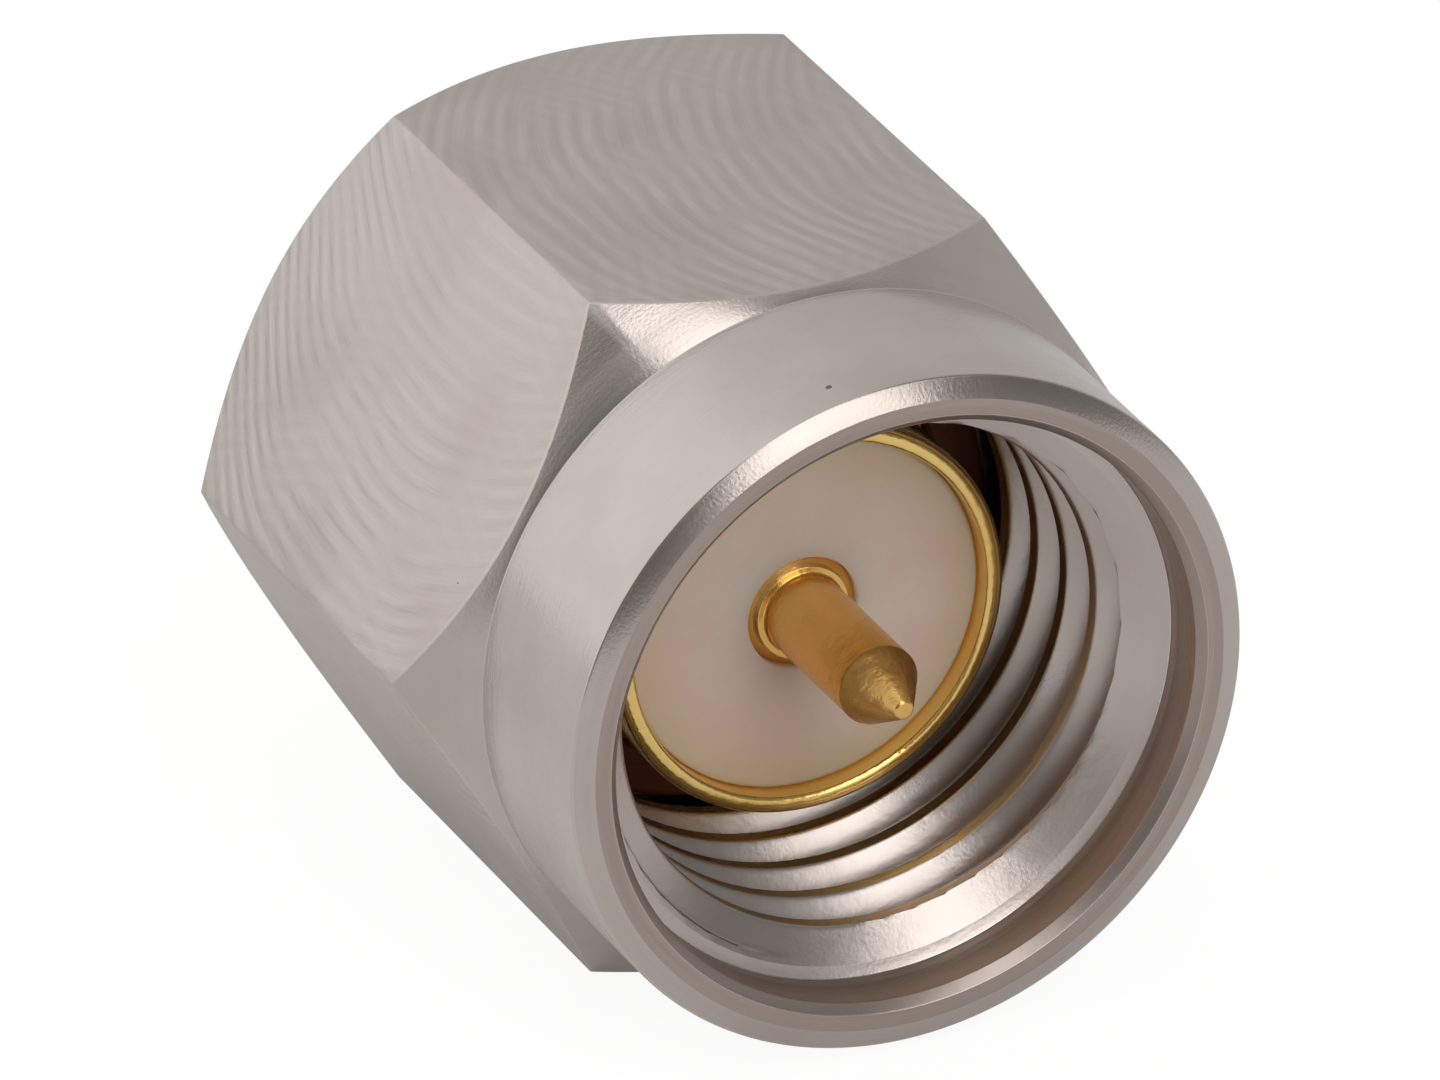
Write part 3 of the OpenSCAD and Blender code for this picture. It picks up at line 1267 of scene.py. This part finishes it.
@dataclass
class Insulators:
    """The two fluoropolymer beads round the contact."""

    bead_r: float = 2.055
    hole_r: float = 0.645
    seat_r: float = 0.91
    seat_l: float = 0.4
    room_r: float = 0.845

    def build_front(self) -> Object:
        """Build the bead round the pin.

        Returns:
            The finished object.
        """
        front, back = station_span("front_insulator")
        return turned("front_insulator_finished", [
            Corner(self.hole_r, front, 0.02),
            Corner(self.bead_r, front, 0.05),
            Corner(self.bead_r, back, 0.03),
            Corner(self.hole_r, back, 0.02),
        ])

    def build_rear(self) -> Object:
        """Build the bead behind the contact's collar.

        Returns:
            The finished object.
        """
        front, back = station_span("rear_insulator")
        seat_end = front - self.seat_l
        return turned("rear_insulator_finished", [
            Corner(self.seat_r, front, 0.02),
            Corner(self.bead_r, front, 0.03),
            Corner(self.bead_r, back, 0.03),
            Corner(self.room_r, back, 0.03),
            Corner(self.room_r, seat_end - 0.1),
            Corner(self.hole_r, seat_end - 0.1),
            Corner(self.hole_r, seat_end),
            Corner(self.seat_r, seat_end),
        ])


@dataclass
class Gasket:
    """Silicone ring in front of the body's shoulder."""

    inner_r: float = 2.46

    def build(self) -> Object:
        """Build the ring with rounded edges.

        Returns:
            The finished object.
        """
        front, back = station_span("gasket")
        outer = outer_radius("gasket")
        return turned("gasket_finished", [
            Corner(self.inner_r, front, 0.06),
            Corner(outer, front, 0.12),
            Corner(outer, back, 0.12),
            Corner(self.inner_r, back, 0.06),
        ])


@dataclass
class SnapRing:
    """Split spring ring between body and nut."""

    width: float = 0.6
    gap: float = math.radians(40.0)

    def build(self) -> Object:
        """Build the ring, with its gap where the CAD node has it.

        Returns:
            The finished object.
        """
        front, back = station_span("retaining_ring")
        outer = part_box("retaining_ring")[1].z / MM
        bm = bmesh.new()
        corners = [
            Corner(outer - self.width, front, 0.05),
            Corner(outer, front, 0.05),
            Corner(outer, back, 0.05),
            Corner(outer - self.width, back, 0.05),
        ]
        wire(bm, outline(corners, True), True)
        half_gap = Matrix.Rotation(self.gap / 2, 3, "Y")
        bmesh.ops.rotate(bm, verts=bm.verts[:], cent=(0.0, 0.0, 0.0), matrix=half_gap)
        spin_about_axis(bm, 160, angle=2 * math.pi - self.gap)
        bmesh.ops.holes_fill(bm, edges=[edge for edge in bm.edges if edge.is_boundary], sides=0)
        return to_object(bm, "retaining_ring_finished")


# ---------------------------------------------------------------------------------------------
# Studio
# ---------------------------------------------------------------------------------------------


@dataclass
class Studio:
    """Camera, softbox, pale floor and a white backdrop in a room that is dim in front.

    Args:
        floor_size: Side of the square floor.
        floor_front: How far it reaches in front of the origin, towards the camera.
        azimuth: Camera's angle round +Z, 0 in front of the mouth.
        elevation: Camera's angle above the floor.
        distance: Camera's distance from its target.
        target: What the camera looks at.
        lens: Its focal length.
        floor_colour: Grey of the floor under the lamps.
        floor_lift: Share of plain white that the camera sees in the floor.
        gloss_lift: Share of plain white that metal reflects from floor and backdrop.
        floor_glow: Strength of that white.
        backdrop_left: Level of the surround on the left.
        backdrop_right: Level of the surround on the right.
        room_level: Level of the surround in front.
        box_azimuth: Softbox's angle round +Z.
        box_elevation: Softbox's angle above the floor.
        box_roll: Its turn about its own beam.
        box_distance: Its distance from the origin.
        box_size: Its width and height.
        box_radiance: Its brightness, whatever its size.
    """

    floor_size: float = 300.0
    floor_front: float = 45.0
    azimuth: float = math.radians(-25.583)
    elevation: float = math.radians(27.572)
    distance: float = 211.5
    target: Point3 = (-0.725, 0.747, 0.781)
    lens: float = 500.0
    floor_colour: float = 0.8
    floor_lift: float = 0.82
    gloss_lift: float = 0.12
    floor_glow: float = 1.12
    backdrop_left: float = 0.87
    backdrop_right: float = 0.48
    room_level: float = 0.175
    box_azimuth: float = math.radians(5.0)
    box_elevation: float = math.radians(37.0)
    box_roll: float = math.radians(16.0)
    box_distance: float = 200.0
    box_size: tuple[float, float] = (94.0, 290.0)
    box_radiance: float = 1.9

    @staticmethod
    def towards(azimuth: float, elevation: float) -> Vector:
        """Return the unit vector from the origin to a place at two angles.

        Args:
            azimuth: Angle round +Z, 0 along -Y.
            elevation: Angle above the floor.

        Returns:
            The vector.
        """
        return Vector((
            math.sin(azimuth) * math.cos(elevation),
            -math.cos(azimuth) * math.cos(elevation),
            math.sin(elevation),
        ))

    @staticmethod
    def aim(thing: Object, place: Vector, target: Vector) -> None:
        """Put an object at a place and point its -Z at a target.

        Args:
            thing: Camera or lamp.
            place: Its place in metres.
            target: What it looks at, in metres.
        """
        thing.location = place
        thing.rotation_euler = (target - place).to_track_quat("-Z", "Y").to_euler()

    def add_camera(self) -> None:
        """Add the camera on its orbit and make it the scene's camera."""
        data = bpy.data.cameras.new("camera")
        data.lens = self.lens
        data.sensor_width = 36.0
        data.clip_start = 0.005
        data.clip_end = 10.0
        camera = link(bpy.data.objects.new("camera", data))
        target = Vector(self.target) * MM
        away = self.towards(self.azimuth, self.elevation)
        self.aim(camera, target + away * self.distance * MM, target)
        bpy.context.scene.camera = camera

    @staticmethod
    def backdrop_share(w: Wiring, seen: float, reflected: object) -> NodeSocket:
        """Return how much of the white backdrop a ray sees.

        Args:
            w: Wiring of the material or world.
            seen: Share for rays from the camera.
            reflected: Share for rays from gloss and through glass.

        Returns:
            The share.
        """
        path = w.add(NodeKind.LIGHT_PATH)
        glossy, through = path.outputs["Is Glossy Ray"], path.outputs["Is Transmission Ray"]
        mirrored = w.math("MAXIMUM", glossy, through)
        direct = w.times(path.outputs["Is Camera Ray"], seen)
        return w.math("MAXIMUM", direct, w.times(mirrored, reflected))

    def add_floor(self) -> None:
        """Add the pale floor on which the hexagon lies."""
        low = CAD_BOUNDS[0][2]
        bm = bmesh.new()
        bmesh.ops.create_grid(bm, x_segments=1, y_segments=1, size=self.floor_size * MM / 2)
        away = (self.floor_size / 2 - self.floor_front) * MM
        bmesh.ops.translate(bm, vec=(0.0, away, low), verts=bm.verts[:])
        turn = Matrix.Rotation(self.azimuth, 3, "Z")
        bmesh.ops.rotate(bm, cent=(0.0, 0.0, 0.0), matrix=turn, verts=bm.verts[:])
        floor = link_mesh(bm, "floor")
        material = bpy.data.materials.new("pale_floor")
        w = emptied(material)
        paper = w.add(NodeKind.DIFFUSE)
        paper.inputs["Color"].default_value = opaque((self.floor_colour,) * 3)
        glow = w.add(NodeKind.GLOW)
        glow.inputs["Strength"].default_value = self.floor_glow
        blend = w.add(NodeKind.MIX_SHADER)
        w.feed(blend.inputs[0], self.backdrop_share(w, self.floor_lift, self.gloss_lift))
        w.feed(blend.inputs[1], paper.outputs[0])
        w.feed(blend.inputs[2], glow.outputs[0])
        w.feed(w.add(NodeKind.OUTPUT).inputs["Surface"], blend.outputs[0])
        floor.data.materials.append(material)

    def add_softbox(self) -> None:
        """Add the large soft lamp in front, a little to the right and above."""
        out = self.towards(self.box_azimuth, self.box_elevation)
        data = bpy.data.lights.new("softbox", "AREA")
        data.shape = "RECTANGLE"
        data.size, data.size_y = (side * MM for side in self.box_size)
        area = data.size * data.size_y
        data.energy = self.box_radiance * math.pi * area
        lamp = link(bpy.data.objects.new("softbox", data))
        self.aim(lamp, out * self.box_distance * MM, Vector((0.0, 0.0, 0.0)))
        roll = Matrix.Rotation(self.box_roll, 3, "Z")
        lamp.rotation_euler = (lamp.rotation_euler.to_matrix() @ roll).to_euler()

    def add_world(self) -> None:
        """Set a white backdrop behind, which fades upwards, in a room that is dim in front."""
        world = bpy.data.worlds.new("studio")
        bpy.context.scene.world = world
        w = emptied(world)
        x, y, _ = w.split(w.add(NodeKind.COORDS).outputs["Generated"])
        backdrop = w.remap(x, -0.5, 0.55, self.backdrop_left, self.backdrop_right)
        front = w.remap(y, -0.1, -0.45, 0.0, 1.0)
        room = w.mix_value(front, backdrop, self.room_level)
        behind = w.remap(y, 0.2, 0.5, 0.0, self.gloss_lift)
        level = w.mix_value(self.backdrop_share(w, 1.0, behind), room, 1.0)
        background = w.add(NodeKind.BACKGROUND)
        background.inputs["Color"].default_value = opaque((1.0, 1.0, 1.0))
        w.feed(background.inputs["Strength"], level)
        w.feed(w.add(NodeKind.WORLD_OUTPUT).inputs["Surface"], background.outputs[0])

    def build(self) -> None:
        """Build camera, floor, lamp and surround."""
        self.add_camera()
        self.add_floor()
        self.add_world()
        self.add_softbox()
        bpy.context.scene.view_settings.view_transform = "Standard"


def main() -> None:
    """Build the plug and its studio in order."""
    effects = Effects()
    steel = SteelFinish().build(effects)
    body_gold = GoldFinish("body_gold").build(effects)
    contact_gold = GoldFinish(
        "contact_gold", bright=(0.96, 0.60, 0.19), deep=(0.80, 0.44, 0.12), rough=0.2
    ).build(effects)
    spring = GoldFinish(
        "spring_bronze", bright=(0.75, 0.55, 0.33), deep=(0.55, 0.36, 0.2), rough=0.3
    ).build(effects)
    ptfe = PolymerFinish(
        "fluoropolymer",
        pale=(0.98, 0.77, 0.685),
        tinted=(0.92, 0.69, 0.60),
        rough=0.4,
        depth_mm=0.6,
        speck_mm=0.02,
    ).build(effects)
    rubber = PolymerFinish(
        "gasket_silicone", pale=(0.26, 0.075, 0.03), tinted=(0.17, 0.05, 0.022), rough=0.35
    ).build(effects)
    insulators = Insulators()
    add_piece(CouplingNut().build(), "coupling_nut", "nut", steel)
    add_piece(PlugBody().build(), "body", "plug_body", body_gold)
    add_piece(insulators.build_front(), "front_insulator", "plug_body", ptfe)
    add_piece(insulators.build_rear(), "rear_insulator", "plug_body", ptfe)
    add_piece(CentreContact().build(), "centre_contact", "plug_body", contact_gold)
    add_piece(Gasket().build(), "gasket", "plug_body", rubber)
    add_piece(SnapRing().build(), "retaining_ring", "plug_body", spring)
    Studio().build()


if __name__ == "__main__":
    main()
